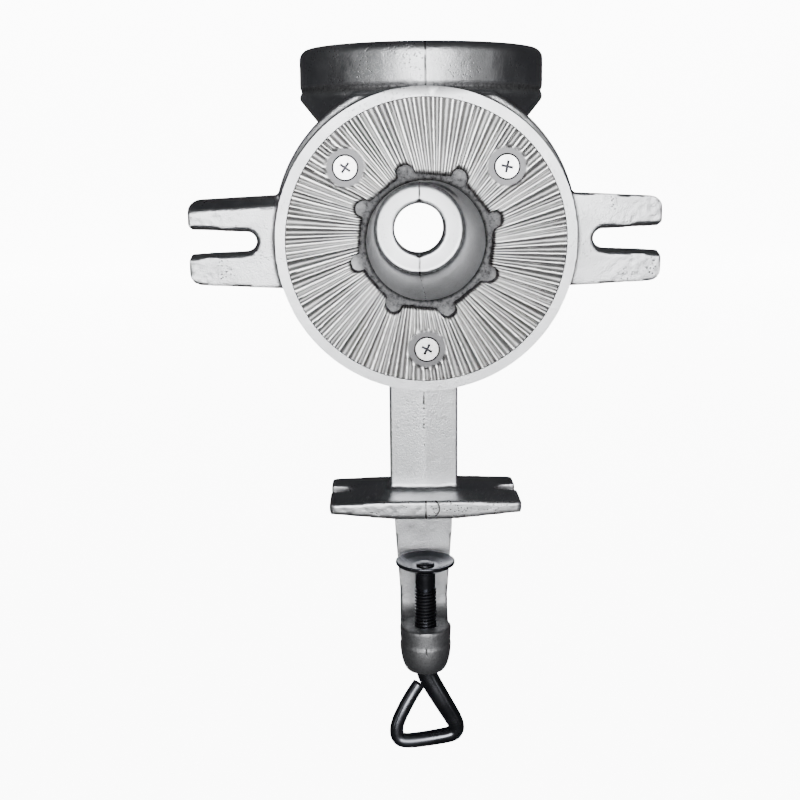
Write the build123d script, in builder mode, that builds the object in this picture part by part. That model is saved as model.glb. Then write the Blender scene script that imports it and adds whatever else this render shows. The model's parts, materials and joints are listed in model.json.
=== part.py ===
from build123d import *
import os
from math import cos, radians, sin

# Stripped body of a table-clamped hand mill for corn: one hollow casting with its fixed burr
# plate, the plate's screws and nuts, and the clamp screw with its swivel pad. Millimetres.
# The origin is where the clamp screw's axis meets the flat underside of the table ledge.
# +X is to the right when facing the burr plate, +Y runs from the burr plate to the rear
# bearing, and +Z is up.

os.makedirs("parts", exist_ok=True)

# ---------------------------------------------------------------- driving dimensions
# Shaft line
shaft_height = 120.0  # shaft axis above the ledge's underside
face_setback = 29.0  # flange face in front of the clamp screw's axis

# Flange
flange_radius = 60.0
rim_width = 4.0  # bare ring round the burr plate
flange_floor = 5.0  # metal behind the burr plate
flange_bevel = 2.5  # slope on the flange's rear edge
nut_pad_radius = 8.0
nut_pad_height = 1.5

# Fixed burr plate
plate_thickness = 5.0
plate_proud = 0.4  # plate stands in front of the rim
plate_clearance = 0.3  # round the plate, inside the rim
opening_apothem = 26.0  # half the opening's width across its flats
notch_count = 8
notch_circle = 27.6  # radius of the circle through the notch centres
notch_radius = 3.4
notch_turn = 17.7  # degrees from +X to the first notch
groove_count = 96
groove_depth = 1.0
groove_inner_width = 1.1
groove_outer_width = 2.0
groove_swirl = 7.0  # degrees the grooves lean away from the radius
groove_start = 32.0  # radius where the grooves begin
land_radius = 7.9  # smooth land round each plate screw

# Plate screws, M5 countersunk, and their nuts
screw_inset = 12.7  # screw centres inside the burr plate's edge
upper_screw_angle = 42.5  # degrees above the horizontal
screw_radius = 2.5
screw_head_radius = 4.8
screw_hole_clearance = 0.25
screw_tail = 2.0  # thread standing out of the nut
head_edge = 0.3  # straight edge round the flat head
head_clearance = 0.1
recess_width = 1.1
recess_length = 5.4
recess_depth = 1.6
recess_taper = 12.0
recess_turn = 35.0
nut_across_flats = 8.0
nut_height = 4.0
nut_clearance = 0.05

# Slotted lugs
lug_tip_x = 95.0
lug_nut_gap = 7.55  # lug's upper edge below the upper screws' centres
lug_taper = 4.7  # half width lost between the shaft line and the tip
lug_corner = 5.0
lug_setback = 6.0  # front of the lugs behind the flange face
lug_thickness = 8.0
slot_end_x = 68.5  # closed end of the slot at the lug's rear face
slot_half = 3.6
slot_mouth_half = 5.2
slot_draft = 12.0  # degrees

# Shoulder that joins the flange's upper back to the hopper
shoulder_margin = 1.0  # shoulder's radius beyond the flange's
shoulder_rise = 3.0
shoulder_width = 10.0
shoulder_setback = 7.0
shoulder_depth = 10.0
shoulder_top = 57.5
shoulder_bottom = 10.0

# Barrel and rear bearing
barrel_mouth_radius = 24.0
barrel_rear_radius = 21.0
barrel_wall = 4.5
barrel_depth = 82.0  # flange face to the inner rear wall
bearing_radius = 11.6
bearing_length = 14.0
bearing_boss_radius = 17.5

# Hopper collar
hopper_setback = 56.0  # hopper axis behind the flange face
hopper_rise = 77.5  # collar's top above the shaft axis
collar_radius = 52.0
collar_wall = 5.5
collar_lip = 4.0  # rounding of the collar's outer top edge
band_height = 16.0
groove_step = 1.2  # shallow groove under the band
ridge_height = 4.5
socket_depth = 17.5
funnel_shoulder_radius = 44.0
funnel_shoulder_drop = 10.0
funnel_foot_radius = 24.0
throat_radius = 17.0
throat_height = 22.0  # throat's top above the shaft axis

# Leg
leg_width = 30.0
leg_front_y = 8.0
leg_thickness = 15.0
leg_ridge = 1.4

# Table ledge
ledge_half_width = 41.5
ledge_front_y = -11.0
ledge_back_y = 32.0
ledge_thickness = 8.0
ledge_end_thickness = 4.6
ledge_crown = 0.8
seat_half_width = 15.0
ledge_corner = 2.5
end_notch_y = 14.0
end_notch_half = 4.6
end_notch_depth = 9.8

# Clamp arm and screw boss
arm_front_y = 17.0
arm_thickness = 13.0
arm_top_half = 13.0
arm_low_half = 10.8
arm_inner_round = 9.0
arm_outer_round = 14.0
boss_radius = 11.5
boss_tip_radius = 6.6
boss_top_z = -52.3
boss_height = 21.0
boss_straight = 12.0

# Clamp screw, M10, bent into an eye
thread_radius = 4.9
thread_clearance = 0.05
rod_radius = 3.4
eye_gap = 1.2  # eye's shoulder under the boss, screw fully in
eye_height = 36.0
eye_half_width = 16.6
eye_slope = 6.0  # free-end corner hangs this far below the other corner
eye_bend = 6.0
neck_radius = 3.2
tip_radius = 4.6
tip_height = 1.7
tip_play = 0.15

# Swivel pad
pad_top_z = -22.0
pad_radius = 13.1
pad_dish = 2.4
pad_thickness = 1.8
pad_hub_radius = 6.2
pad_clearance = 0.1

# Where the casting is divided into nodes that meet face to face
lug_cut_margin = 1.0  # lugs begin this far outside the shoulder
ledge_end_margin = 4.0  # ledge ends begin this far inside the notches
arm_tenon = 2.0  # arm node's height inside the ledge node
far = 300.0  # beyond the casting on every side

# ---------------------------------------------------------------- derived places
face_y = -face_setback
recess_depth_y = plate_thickness - plate_proud
flange_depth = recess_depth_y + flange_floor
hopper_y = face_y + hopper_setback
hopper_top_z = shaft_height + hopper_rise
rear_wall_y = face_y + barrel_depth
bearing_end_y = rear_wall_y + bearing_length
plate_radius = flange_radius - rim_width - plate_clearance
screw_circle = plate_radius - screw_inset
shoulder_radius = flange_radius + shoulder_margin
lug_root_half = screw_circle * sin(radians(upper_screw_angle)) - lug_nut_gap
lug_tip_half = lug_root_half - lug_taper
shaft_line = Axis((0, 0, shaft_height), (0, 1, 0))
hopper_line = Axis((0, hopper_y, 0), (0, 0, 1))
screw_line = Axis((0, 0, 0), (0, 0, 1))
screw_angles = [180 - upper_screw_angle, upper_screw_angle, 270]
screw_spots = [(screw_circle * cos(radians(a)), screw_circle * sin(radians(a))) for a in screw_angles]


def facing(depth):
    """Plane across the shaft, this far behind the flange face, centred on the shaft."""
    return Plane(origin=(0, face_y + depth, shaft_height), x_dir=(1, 0, 0), z_dir=(0, -1, 0))


# ---------------------------------------------------------------- casting
boss_bottom_z = boss_top_z - boss_height
arm_back_y = arm_front_y + arm_thickness
web_top_z = boss_top_z - 1.5
web_bottom_z = boss_bottom_z + 4.0
collar_foot = hopper_rise - band_height - ridge_height

with BuildPart() as casting:
    # Clamp arm: an L from the ledge down and forward to the boss, narrower towards the boss
    with BuildSketch(Plane.YZ) as arm_side:
        with Locations(((arm_front_y + arm_back_y) / 2, (ledge_end_thickness + web_bottom_z) / 2)):
            Rectangle(arm_thickness, ledge_end_thickness - web_bottom_z)
        with Locations((arm_back_y / 2, (web_top_z + web_bottom_z) / 2)):
            Rectangle(arm_back_y, web_top_z - web_bottom_z)
        inner_corner = arm_side.vertices().sort_by_distance((arm_front_y, web_top_z))[0]
        fillet(inner_corner, arm_inner_round)
        outer_corner = arm_side.vertices().sort_by_distance((arm_back_y, web_bottom_z))[0]
        fillet(outer_corner, arm_outer_round)
    extrude(amount=arm_top_half, both=True)
    with BuildSketch(Plane.XZ) as arm_front:
        with BuildLine():
            Polyline(
                (-arm_top_half, ledge_thickness),
                (-arm_top_half, -12),
                (-arm_low_half, boss_top_z + 8),
                (-arm_low_half, boss_bottom_z),
                (arm_low_half, boss_bottom_z),
                (arm_low_half, boss_top_z + 8),
                (arm_top_half, -12),
                (arm_top_half, ledge_thickness),
                close=True,
            )
        make_face()
    extrude(amount=arm_back_y * 2, both=True, mode=Mode.INTERSECT)

    # Screw boss: straight, then tapered to its lower end
    with BuildSketch(Plane.XZ) as boss_half:
        with BuildLine():
            Polyline(
                (0, boss_top_z),
                (boss_radius, boss_top_z),
                (boss_radius - 0.6, boss_top_z - boss_straight),
                (boss_tip_radius, boss_bottom_z),
                (0, boss_bottom_z),
                close=True,
            )
        make_face()
    revolve(axis=screw_line)

    # Table ledge: flat seat under its middle, thinner towards its ends
    with BuildSketch(Plane.XZ.offset(-ledge_back_y)) as ledge_front:
        with BuildLine():
            Polyline(
                (-seat_half_width, 0),
                (seat_half_width, 0),
                (ledge_half_width, ledge_thickness - ledge_crown - ledge_end_thickness),
                (ledge_half_width, ledge_thickness - ledge_crown),
                (seat_half_width, ledge_thickness),
                (-seat_half_width, ledge_thickness),
                (-ledge_half_width, ledge_thickness - ledge_crown),
                (-ledge_half_width, ledge_thickness - ledge_crown - ledge_end_thickness),
                close=True,
            )
        make_face()
    extrude(amount=ledge_back_y - ledge_front_y)

    # Leg: upright bar from the ledge to the barrel, its front meeting in a low ridge
    with BuildSketch(Plane.XY.offset(ledge_thickness / 2)) as leg_section:
        with BuildLine():
            Polyline(
                (-leg_width / 2, leg_front_y + leg_ridge),
                (0, leg_front_y),
                (leg_width / 2, leg_front_y + leg_ridge),
                (leg_width / 2, leg_front_y + leg_thickness),
                (-leg_width / 2, leg_front_y + leg_thickness),
                close=True,
            )
        make_face()
    extrude(amount=shaft_height - ledge_thickness / 2)

    # Flange disc with a bevelled rear edge, the barrel and the rear bearing boss
    with BuildSketch(Plane.YZ) as barrel_half:
        with BuildLine():
            Polyline(
                (face_y, shaft_height),
                (face_y, shaft_height + flange_radius),
                (face_y + flange_depth - flange_bevel, shaft_height + flange_radius),
                (face_y + flange_depth, shaft_height + flange_radius - flange_bevel),
                (face_y + flange_depth, shaft_height + barrel_mouth_radius + barrel_wall),
                (rear_wall_y + barrel_wall, shaft_height + barrel_rear_radius + barrel_wall),
                (rear_wall_y + barrel_wall + 3, shaft_height + bearing_boss_radius),
                (bearing_end_y, shaft_height + bearing_boss_radius),
                (bearing_end_y, shaft_height),
                close=True,
            )
        make_face()
    revolve(axis=shaft_line)

    # Slotted lugs: one bar behind the flange, tapered to rounded tips
    with BuildSketch(facing(lug_setback)) as lugs:
        with BuildLine():
            Polyline(
                (-lug_tip_x, -lug_tip_half),
                (0, -lug_root_half),
                (lug_tip_x, -lug_tip_half),
                (lug_tip_x, lug_tip_half),
                (0, lug_root_half),
                (-lug_tip_x, lug_tip_half),
                close=True,
            )
        make_face()
        tips = lugs.vertices().filter_by(lambda v: abs(v.X) > slot_end_x)
        fillet(tips, lug_corner)
    extrude(amount=-lug_thickness)

    # Shoulder between the flange's upper back and the hopper
    with BuildSketch(facing(shoulder_setback)) as shoulder:
        with Locations((0, shoulder_rise)):
            Circle(shoulder_radius)
            Circle(shoulder_radius - shoulder_width, mode=Mode.SUBTRACT)
        with Locations((0, (shoulder_top + shoulder_bottom) / 2)):
            Rectangle(3 * shoulder_radius, shoulder_top - shoulder_bottom, mode=Mode.INTERSECT)
    extrude(amount=-shoulder_depth)

    # Flat pads for the nuts on the flange's back
    with BuildSketch(facing(flange_depth)) as nut_pads:
        with Locations(screw_spots):
            Circle(nut_pad_radius)
    extrude(amount=-nut_pad_height)

    # Hopper: banded collar over a funnel that runs down into the barrel
    with BuildSketch(Plane.XZ.offset(-hopper_y)) as hopper_half:
        with BuildLine():
            Polyline(
                (0, hopper_top_z),
                (collar_radius, hopper_top_z),
                (collar_radius, hopper_top_z - band_height),
                (collar_radius - groove_step, hopper_top_z - band_height - groove_step),
                (collar_radius, hopper_top_z - band_height - 2 * groove_step),
                (collar_radius, shaft_height + collar_foot),
                (funnel_shoulder_radius, shaft_height + collar_foot - funnel_shoulder_drop),
                (funnel_foot_radius, shaft_height + throat_height),
                (funnel_foot_radius, shaft_height),
                (0, shaft_height),
                close=True,
            )
        make_face()
        lip = hopper_half.vertices().sort_by_distance((collar_radius, hopper_top_z))[0]
        fillet(lip, collar_lip)
    revolve(axis=hopper_line)

    # Tapered barrel bore, shaft bearing and plate recess
    with BuildSketch(Plane.YZ) as bore_half:
        with BuildLine():
            Polyline(
                (face_y - 1, shaft_height),
                (face_y - 1, shaft_height + flange_radius - rim_width),
                (face_y + recess_depth_y, shaft_height + flange_radius - rim_width),
                (face_y + recess_depth_y, shaft_height + barrel_mouth_radius),
                (rear_wall_y, shaft_height + barrel_rear_radius),
                (rear_wall_y, shaft_height + bearing_radius),
                (bearing_end_y + 1, shaft_height + bearing_radius),
                (bearing_end_y + 1, shaft_height),
                close=True,
            )
        make_face()
    revolve(axis=shaft_line, mode=Mode.SUBTRACT)

    # Hopper socket, funnel and throat
    with BuildSketch(Plane.XZ.offset(-hopper_y)) as hopper_void:
        with BuildLine():
            Polyline(
                (0, hopper_top_z + 1),
                (collar_radius - collar_wall, hopper_top_z + 1),
                (collar_radius - collar_wall, hopper_top_z - socket_depth),
                (collar_radius - collar_wall - 2, hopper_top_z - socket_depth),
                (throat_radius, shaft_height + throat_height),
                (throat_radius, shaft_height),
                (0, shaft_height),
                close=True,
            )
        make_face()
    revolve(axis=hopper_line, mode=Mode.SUBTRACT)

    # Plate screw holes through the flange's floor
    with BuildSketch(facing(recess_depth_y - 1)) as plate_holes:
        with Locations(screw_spots):
            Circle(screw_radius + screw_hole_clearance)
    extrude(amount=-(flange_floor + nut_pad_height + 2), mode=Mode.SUBTRACT)

    # Open slots in the lugs, wider at the front
    with BuildSketch(facing(lug_setback + lug_thickness)) as lug_slots:
        for side in (-1, 1):
            with BuildLine():
                Polyline(
                    (side * (lug_tip_x + 10), -slot_mouth_half),
                    (side * (slot_end_x + slot_half), -slot_half),
                    (side * (slot_end_x + slot_half), slot_half),
                    (side * (lug_tip_x + 10), slot_mouth_half),
                    close=True,
                )
            make_face()
            with Locations((side * (slot_end_x + slot_half), 0)):
                Circle(slot_half)
    extrude(amount=lug_thickness + 0.01, taper=-slot_draft, mode=Mode.SUBTRACT)

    # Open notches in the ledge's ends
    with BuildSketch(Plane.XY.offset(-1)) as end_notches:
        for side in (-1, 1):
            with Locations((side * (ledge_half_width + 5 - end_notch_depth / 2), end_notch_y)):
                Rectangle(end_notch_depth + 10 - 2 * end_notch_half, 2 * end_notch_half)
            with Locations((side * (ledge_half_width - end_notch_depth + end_notch_half), end_notch_y)):
                Circle(end_notch_half)
    extrude(amount=ledge_thickness + 2, mode=Mode.SUBTRACT)

    # Hole for the clamp screw
    with BuildSketch(Plane.XY.offset(boss_bottom_z - 1)) as clamp_hole:
        Circle(thread_radius + thread_clearance)
    extrude(amount=boss_height + 2, mode=Mode.SUBTRACT)

    # Rounded corners of the ledge
    ledge_posts = (
        casting.edges()
        .filter_by(Axis.Z)
        .filter_by(lambda e: abs(abs(e.center().X) - ledge_half_width) < 0.1)
        .filter_by(lambda e: abs(e.center().Y - end_notch_y) > 2 * end_notch_half)
    )
    fillet(ledge_posts, ledge_corner)

# ---------------------------------------------------------------- casting divided into nodes
lug_cut_x = shoulder_radius + lug_cut_margin
ledge_cut_x = ledge_half_width - end_notch_depth - ledge_end_margin
flange_cut_y = face_y + shoulder_setback + shoulder_depth
boss_cut_z = web_top_z + arm_inner_round
barrel_outer_radius = barrel_mouth_radius + barrel_wall
barrel_low_z = shaft_height - barrel_outer_radius
barrel_high_z = shaft_height + barrel_outer_radius
socket_floor_z = hopper_top_z - socket_depth


def block(x_limits, y_limits, z_limits):
    """Box between a low and a high limit along each axis."""
    corners = list(zip(x_limits, y_limits, z_limits))
    low, high = Vector(corners[0]), Vector(corners[1])
    size = high - low
    return Location((low + high) / 2) * Box(size.X, size.Y, size.Z)


everywhere = (-far, far)
inner_ledge = (-ledge_cut_x, ledge_cut_x)
between_lugs = (-lug_cut_x, lug_cut_x)
behind_flange = (flange_cut_y, far)
ledge_span = (0, ledge_thickness)
arm_width = (-arm_top_half, arm_top_half)
tenon = block(arm_width, (arm_front_y, arm_back_y), (0, arm_tenon))
regions = {
    "hopper_collar": block(between_lugs, everywhere, (socket_floor_z, far)),
    "hopper_funnel": block(between_lugs, behind_flange, (barrel_high_z, socket_floor_z)),
    "barrel": block(between_lugs, (flange_cut_y, rear_wall_y), (barrel_low_z, barrel_high_z)),
    "rear_bearing": block(between_lugs, (rear_wall_y, far), (barrel_low_z, barrel_high_z)),
    "burr_flange": block(between_lugs, (-far, flange_cut_y), (ledge_thickness, socket_floor_z)),
    "lug_left": block((-far, -lug_cut_x), everywhere, everywhere),
    "lug_right": block((lug_cut_x, far), everywhere, everywhere),
    "leg": block(between_lugs, behind_flange, (ledge_thickness, barrel_low_z)),
    "table_ledge": block(inner_ledge, everywhere, ledge_span) - tenon,
    "ledge_end_left": block((-lug_cut_x, -ledge_cut_x), everywhere, ledge_span),
    "ledge_end_right": block((ledge_cut_x, lug_cut_x), everywhere, ledge_span),
    "clamp_arm": block(between_lugs, everywhere, (boss_cut_z, 0)) + tenon,
    "screw_boss": block(between_lugs, everywhere, (-far, boss_cut_z)),
}
for node_name, region in regions.items():
    node = (casting.part & region).solid()
    node.label = node_name
    export_step(node, f"parts/{node_name}.step")

# ---------------------------------------------------------------- fixed burr plate
groove_reach = plate_radius + 2 - groove_start
groove_drift = groove_reach * sin(radians(groove_swirl))

with BuildPart() as burr_plate:
    with BuildSketch(facing(-plate_proud)) as plate_disc:
        Circle(plate_radius)
        RegularPolygon(
            opening_apothem,
            notch_count,
            major_radius=False,
            rotation=notch_turn,
            mode=Mode.SUBTRACT,
        )
        with PolarLocations(notch_circle, notch_count, start_angle=notch_turn):
            Circle(notch_radius, mode=Mode.SUBTRACT)
    extrude(amount=-plate_thickness)
    with BuildSketch(facing(-plate_proud)) as grooves:
        with PolarLocations(groove_start, groove_count):
            Polygon(
                (0, -groove_inner_width / 2),
                (groove_reach, groove_drift - groove_outer_width / 2),
                (groove_reach, groove_drift + groove_outer_width / 2),
                (0, groove_inner_width / 2),
                align=None,
            )
        with Locations(screw_spots):
            Circle(land_radius, mode=Mode.SUBTRACT)
    extrude(amount=-groove_depth, mode=Mode.SUBTRACT)
    with Locations([facing(-plate_proud) * Pos(x, z) for x, z in screw_spots]):
        CounterSinkHole(
            screw_radius + screw_hole_clearance,
            screw_head_radius + head_edge + head_clearance,
            counter_sink_angle=90,
        )

# ---------------------------------------------------------------- plate screws and nuts
screw_head_depth = screw_head_radius - screw_radius
nut_seat = flange_depth + nut_pad_height
screw_length = plate_proud + nut_seat + nut_height + screw_tail
screw_places = ["upper_left", "upper_right", "lower"]

with BuildPart() as plate_screw:
    with BuildSketch(Plane.XZ) as screw_half:
        with BuildLine():
            Polyline(
                (0, 0),
                (screw_head_radius, 0),
                (screw_head_radius, -head_edge),
                (screw_radius, -screw_head_depth - head_edge),
                (screw_radius, -screw_length),
                (0, -screw_length),
                close=True,
            )
        make_face()
    revolve(axis=Axis.Z)
    with BuildSketch(Plane.XY) as cross_recess:
        Rectangle(recess_length, recess_width, rotation=recess_turn)
        Rectangle(recess_width, recess_length, rotation=recess_turn)
    extrude(amount=-recess_depth, taper=recess_taper, mode=Mode.SUBTRACT)

with BuildPart() as plate_nut:
    with BuildSketch() as hexagon:
        RegularPolygon(nut_across_flats / 2, 6, major_radius=False)
        Circle(screw_radius + nut_clearance, mode=Mode.SUBTRACT)
    extrude(amount=-nut_height)

# One screw and one nut are made at the origin and copied to the three spots
for place, (spot_x, spot_z) in zip(screw_places, screw_spots):
    placed_screw = facing(-plate_proud).location * Pos(spot_x, spot_z) * plate_screw.part
    placed_screw.label = f"plate_screw_{place}"
    export_step(placed_screw, f"parts/{placed_screw.label}.step")
    placed_nut = facing(nut_seat).location * Pos(spot_x, spot_z) * plate_nut.part
    placed_nut.label = f"plate_nut_{place}"
    export_step(placed_nut, f"parts/{placed_nut.label}.step")

# ---------------------------------------------------------------- swivel pad
hub_top_z = pad_top_z - pad_dish
hub_bottom_z = hub_top_z - pad_thickness

with BuildPart() as clamp_pad:
    with BuildSketch(Plane.XZ) as pad_half:
        with BuildLine():
            Polyline(
                (neck_radius + pad_clearance, hub_top_z),
                (pad_hub_radius, hub_top_z),
                (pad_radius - 0.8, pad_top_z),
                (pad_radius, pad_top_z - 0.4),
                (pad_radius, pad_top_z - pad_thickness + 0.4),
                (pad_hub_radius, hub_bottom_z),
                (neck_radius + pad_clearance, hub_bottom_z),
                close=True,
            )
        make_face()
    revolve(axis=screw_line)

# ---------------------------------------------------------------- clamp screw
eye_top_z = boss_bottom_z - eye_gap
eye_bottom_z = eye_top_z - eye_height
shank_end_z = eye_top_z - 3.0

with BuildPart() as clamp_screw:
    with BuildSketch(Plane.XZ) as shank_half:
        with BuildLine():
            Polyline(
                (0, hub_top_z + tip_play + tip_height),
                (tip_radius * 0.6, hub_top_z + tip_play + tip_height * 0.8),
                (tip_radius, hub_top_z + tip_play),
                (neck_radius, hub_top_z + tip_play),
                (neck_radius, hub_bottom_z - tip_play),
                (thread_radius, hub_bottom_z - tip_play),
                (thread_radius, shank_end_z),
                (0, shank_end_z),
                close=True,
            )
        make_face()
    revolve(axis=screw_line)
    with BuildLine(Plane.XZ) as eye_path:
        FilletPolyline(
            (0, shank_end_z + rod_radius),
            (0, shank_end_z + 0.5),
            (eye_half_width, eye_bottom_z + eye_slope),
            (-eye_half_width, eye_bottom_z),
            (-rod_radius - 1.3, shank_end_z - 6),
            radius=eye_bend,
        )
    with BuildSketch(Plane.XY.offset(shank_end_z + rod_radius)) as rod_section:
        Circle(rod_radius)
    sweep(path=eye_path.wires()[0])

# ---------------------------------------------------------------- export
burr_plate.part.label = "fixed_burr_plate"
export_step(burr_plate.part, "parts/fixed_burr_plate.step")
clamp_pad.part.label = "clamp_pad"
export_step(clamp_pad.part, "parts/clamp_pad.step")
clamp_screw.part.label = "clamp_screw"
export_step(clamp_screw.part, "parts/clamp_screw.step")
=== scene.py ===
"""Looks of a hand mill's stripped body: casting, grooved burr plate, fasteners and table clamp.

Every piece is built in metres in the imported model's own frame: +X to the right when facing the
burr plate, +Y from the plate to the rear bearing, +Z up, with the origin on the clamp screw's
axis at the underside of the table ledge.
"""

import json
import logging
import math
from dataclasses import dataclass, field
from enum import Enum

import bpy
import numpy as np
from mathutils import Matrix, Vector, noise


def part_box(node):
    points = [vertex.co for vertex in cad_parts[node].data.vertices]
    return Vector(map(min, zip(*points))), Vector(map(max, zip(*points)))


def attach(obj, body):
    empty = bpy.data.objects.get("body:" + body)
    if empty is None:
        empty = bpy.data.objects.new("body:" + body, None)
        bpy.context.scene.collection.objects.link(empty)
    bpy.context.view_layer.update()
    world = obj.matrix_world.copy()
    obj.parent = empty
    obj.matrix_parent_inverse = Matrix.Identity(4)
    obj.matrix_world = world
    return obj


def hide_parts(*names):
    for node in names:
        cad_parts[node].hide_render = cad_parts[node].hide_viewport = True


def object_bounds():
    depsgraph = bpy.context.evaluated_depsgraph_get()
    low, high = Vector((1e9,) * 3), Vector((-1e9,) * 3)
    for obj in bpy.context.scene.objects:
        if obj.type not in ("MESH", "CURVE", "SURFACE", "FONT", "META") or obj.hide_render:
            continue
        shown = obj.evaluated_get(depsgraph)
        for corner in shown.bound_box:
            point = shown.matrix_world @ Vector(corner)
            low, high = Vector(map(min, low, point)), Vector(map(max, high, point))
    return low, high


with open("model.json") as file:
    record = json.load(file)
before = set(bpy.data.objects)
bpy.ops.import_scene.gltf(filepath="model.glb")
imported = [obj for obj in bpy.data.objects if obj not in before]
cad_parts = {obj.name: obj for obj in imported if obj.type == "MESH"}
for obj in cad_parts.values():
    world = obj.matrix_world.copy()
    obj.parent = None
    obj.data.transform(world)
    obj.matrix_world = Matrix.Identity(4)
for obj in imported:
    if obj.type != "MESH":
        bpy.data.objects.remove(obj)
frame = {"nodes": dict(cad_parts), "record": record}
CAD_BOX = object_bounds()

logging.basicConfig(level=logging.INFO, format="%(message)s")
log = logging.getLogger("hand_mill")

MM = 0.001
TURN = 2.0 * math.pi


# ------------------------------------------------------------------ places read from the frame
def mount(name: str) -> Vector:
    """Return the place of one of the record's mounts.

    Args:
        name: The mount's name in the record.

    Returns:
        Its position in the row frame, in metres.
    """
    for entry in frame["record"]["mounts"]:
        if entry["name"] == name:
            return Vector(entry["pos_m"])
    raise KeyError(name)


PLATE_LOW, PLATE_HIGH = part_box("fixed_burr_plate")
SHAFT = mount("shaft_bore")
HOPPER = mount("hopper_socket")
SHAFT_Z = SHAFT.z
PLATE_FACE_Y = PLATE_LOW.y
PLATE_RADIUS = (PLATE_HIGH.x - PLATE_LOW.x) / 2


# ------------------------------------------------------------------ modelling helpers
def deselect_all() -> None:
    """Leave object mode with nothing selected."""
    if bpy.context.object is not None and bpy.context.object.mode != "OBJECT":
        bpy.ops.object.mode_set(mode="OBJECT")
    bpy.ops.object.select_all(action="DESELECT")


def activate(obj: bpy.types.Object) -> None:
    """Make one object the only selected and active one.

    Args:
        obj: The object to work on.
    """
    deselect_all()
    obj.select_set(True)
    bpy.context.view_layer.objects.active = obj


def bake_place(obj: bpy.types.Object) -> None:
    """Put an object's place into its mesh, so that it sits at the origin."""
    activate(obj)
    bpy.ops.object.transform_apply(location=True, rotation=True, scale=True)


def apply_modifiers(obj: bpy.types.Object) -> None:
    """Apply every modifier of an object, first to last."""
    activate(obj)
    for modifier in list(obj.modifiers):
        bpy.ops.object.modifier_apply(modifier=modifier.name)


def smooth_by_angle(obj: bpy.types.Object, degrees: float) -> None:
    """Shade smooth except over edges sharper than an angle.

    Args:
        obj: The object to shade.
        degrees: The sharpest angle that still shades smooth.
    """
    activate(obj)
    bpy.ops.object.shade_smooth_by_angle(angle=math.radians(degrees))


def join_pieces(target: bpy.types.Object, others: list[bpy.types.Object]) -> None:
    """Join other objects into one.

    Args:
        target: The object that stays.
        others: The objects that become part of it.
    """
    activate(target)
    for other in others:
        other.select_set(True)
    bpy.ops.object.join()


def rounded(corners: list[tuple[float, float, float]], steps: int = 5) -> list[tuple[float, float]]:
    """Round the corners of an open outline with arcs.

    Args:
        corners: Points as (across, along, corner radius); the two ends keep their place.
        steps: Points on each arc.

    Returns:
        The outline's points as (across, along).
    """
    outline = []
    for index, (u, v, radius) in enumerate(corners):
        if radius <= 0 or index in (0, len(corners) - 1):
            outline.append((u, v))
            continue
        here = Vector((u, v))
        before = Vector(corners[index - 1][:2]) - here
        after = Vector(corners[index + 1][:2]) - here
        half = before.angle(after) / 2
        reach = min(radius / math.tan(half), 0.48 * before.length, 0.48 * after.length)
        radius = reach * math.tan(half)
        centre = here + (before.normalized() + after.normalized()).normalized() * (radius / math.sin(half))
        start = here + before.normalized() * reach - centre
        end = here + after.normalized() * reach - centre
        for step in range(steps + 1):
            arm = start.lerp(end, step / steps).normalized() * radius
            outline.append(tuple(centre + arm))
    return outline


def path_object(name: str, points: list[Vector]) -> bpy.types.Object:
    """Draw a chain of edges by extruding one vertex from point to point.

    Args:
        name: The new object's name.
        points: The chain's points, in the row frame.

    Returns:
        An object whose mesh is the chain, in edit mode with all of it selected.
    """
    deselect_all()
    bpy.ops.mesh.primitive_plane_add(size=0.001, location=(0, 0, 0))
    chain = bpy.context.object
    chain.name = name
    bpy.ops.object.mode_set(mode="EDIT")
    bpy.ops.mesh.select_mode(type="VERT")
    bpy.ops.mesh.merge(type="CENTER")
    bpy.ops.transform.translate(value=points[0])
    for before, here in zip(points, points[1:]):
        bpy.ops.mesh.extrude_vertices_move(TRANSFORM_OT_translate={"value": here - before})
    bpy.ops.mesh.select_all(action="SELECT")
    return chain


def spun(
    name: str, outline: list[tuple[float, float]], centre: Vector, axis: Vector, steps: int
) -> bpy.types.Object:
    """Spin an outline round an axis into a closed solid.

    Args:
        name: The new object's name.
        outline: Points as (distance from the axis, distance along it from the centre).
        centre: A point on the axis.
        axis: The axis's direction.
        steps: Facets round the axis.

    Returns:
        The solid, with its normals outwards.
    """
    axis = axis.normalized()
    across = Vector((1, 0, 0)) if abs(axis.x) < 0.9 else Vector((0, 0, 1))
    points = [centre + across * r + axis * s for r, s in outline]
    solid = path_object(name, points)
    bpy.ops.mesh.spin(steps=steps, angle=TURN, center=centre, axis=axis)
    bpy.ops.mesh.select_all(action="SELECT")
    bpy.ops.mesh.remove_doubles(threshold=1e-6)
    bpy.ops.mesh.normals_make_consistent(inside=False)
    bpy.ops.object.mode_set(mode="OBJECT")
    return solid


def coordinates(obj: bpy.types.Object) -> np.ndarray:
    """Return an object's vertex positions as an array of rows."""
    values = np.empty(len(obj.data.vertices) * 3, np.float64)
    obj.data.vertices.foreach_get("co", values)
    return values.reshape(-1, 3)


def set_coordinates(obj: bpy.types.Object, places: np.ndarray) -> None:
    """Write an object's vertex positions from an array of rows."""
    obj.data.vertices.foreach_set("co", places.astype(np.float32).ravel())
    obj.data.update()


# ------------------------------------------------------------------ shader groups
def socket(group: bpy.types.NodeTree, name: str, kind: str, inward: bool, value: float | None = None) -> None:
    """Add a named socket to a node group.

    Args:
        group: The node group.
        name: The socket's name.
        kind: Float, Color or Vector.
        inward: True for an input.
        value: The default of a Float input.
    """
    made = group.interface.new_socket(
        name=name, in_out="INPUT" if inward else "OUTPUT", socket_type=f"NodeSocket{kind}"
    )
    if value is not None:
        made.default_value = value


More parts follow.
